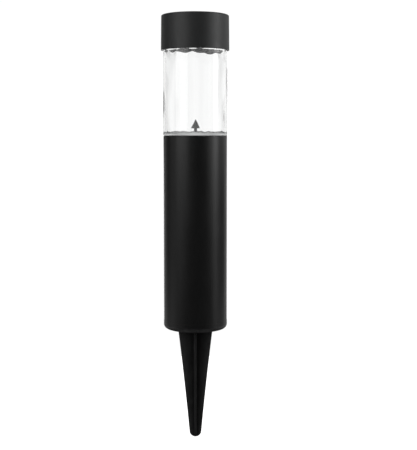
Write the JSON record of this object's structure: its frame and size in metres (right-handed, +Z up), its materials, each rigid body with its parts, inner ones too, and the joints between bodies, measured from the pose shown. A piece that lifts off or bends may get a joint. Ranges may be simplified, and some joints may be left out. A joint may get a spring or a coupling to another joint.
{
  "type": "solar garden light",
  "caption": "Slim round solar path light: clear rippled cup lens between a black cap with a solar panel and a black tube post on a cross-bladed ground stake; head, lens and post lift apart.",
  "frame": {"origin": "centre of the base's underside, at soil level, where the stake leaves the base", "axes": "+Z up the post, -Y towards the front (the side of the head with the switch), +X to the right"},
  "size_m": [0.0568, 0.0568, 0.355],
  "materials": {
    "cap_plastic": "satin moulded",
    "tube_plastic": "satin extruded",
    "stake_plastic": "satin moulded",
    "inner_plastic": "fine matte grain",
    "clear_plastic": "clear, rippled inside",
    "cone_plastic": "gloss",
    "seal_rubber": "matte",
    "foam_tape": "open foam",
    "silicon": "dark blue with fine silver lines",
    "window_plastic": "clear gloss",
    "screw_steel": "zinc plated",
    "contact_steel": "nickel plated",
    "battery_wrap": "gloss heat-shrink sleeve",
    "board_laminate": "green solder mask",
    "chip_resin": "matte resin",
    "inductor_coat": "gloss dipped coat",
    "lamp_resin": "clear resin",
    "switch_case": "tinned steel",
    "knob_plastic": "matte",
    "wire_red": "soft PVC",
    "wire_black": "soft PVC"
  },
  "bodies": {
    "stake": {"stake": "stake_plastic"},
    "post": {"base_plug": "tube_plastic", "body_tube": "tube_plastic"},
    "lens": {"lens": "clear_plastic", "light_cone": "cone_plastic"},
    "seal": {"seal_ring": "seal_rubber"},
    "head": {"head_cap": "cap_plastic", "panel_pad": "foam_tape", "solar_cell": "silicon", "panel_window": "window_plastic", "inner_housing": "inner_plastic", "housing_screws": "screw_steel", "battery_cell": "battery_wrap", "spring_contact": "contact_steel", "plate_contact": "contact_steel", "circuit_board": "board_laminate", "driver_chip": "chip_resin", "inductor": "inductor_coat", "led": "lamp_resin", "switch_body": "switch_case", "panel_wire_red": "wire_red", "panel_wire_black": "wire_black", "battery_wire_red": "wire_red", "battery_wire_black": "wire_black"},
    "switch": {"switch_knob": "knob_plastic"},
    "cover": {"battery_cover": "inner_plastic"}
  },
  "joints": [
    {"name": "post_lift", "type": "slide", "parent": "stake", "child": "post", "axis": [0, 0, 1], "range_m": [0, 0.026]},
    {"name": "lens_lift", "type": "slide", "parent": "post", "child": "lens", "axis": [0, 0, 1], "range_m": [0, 0.014]},
    {"name": "head_turn", "type": "hinge", "parent": "lens", "child": "seal", "pos_m": [0, 0, 0.242], "axis": [0, 0, 1], "continuous": true},
    {"name": "head_lift", "type": "slide", "parent": "seal", "child": "head", "axis": [0, 0, 1], "range_m": [0, 0.012]},
    {"name": "switch_slide", "type": "slide", "parent": "head", "child": "switch", "axis": [1, 0, 0], "range_m": [0, 0.0025]},
    {"name": "cover_swing", "type": "hinge", "parent": "head", "child": "cover", "pos_m": [0, 0.0142, 0.2373], "axis": [1, 0, 0], "range_deg": [0, 90]}
  ]
}
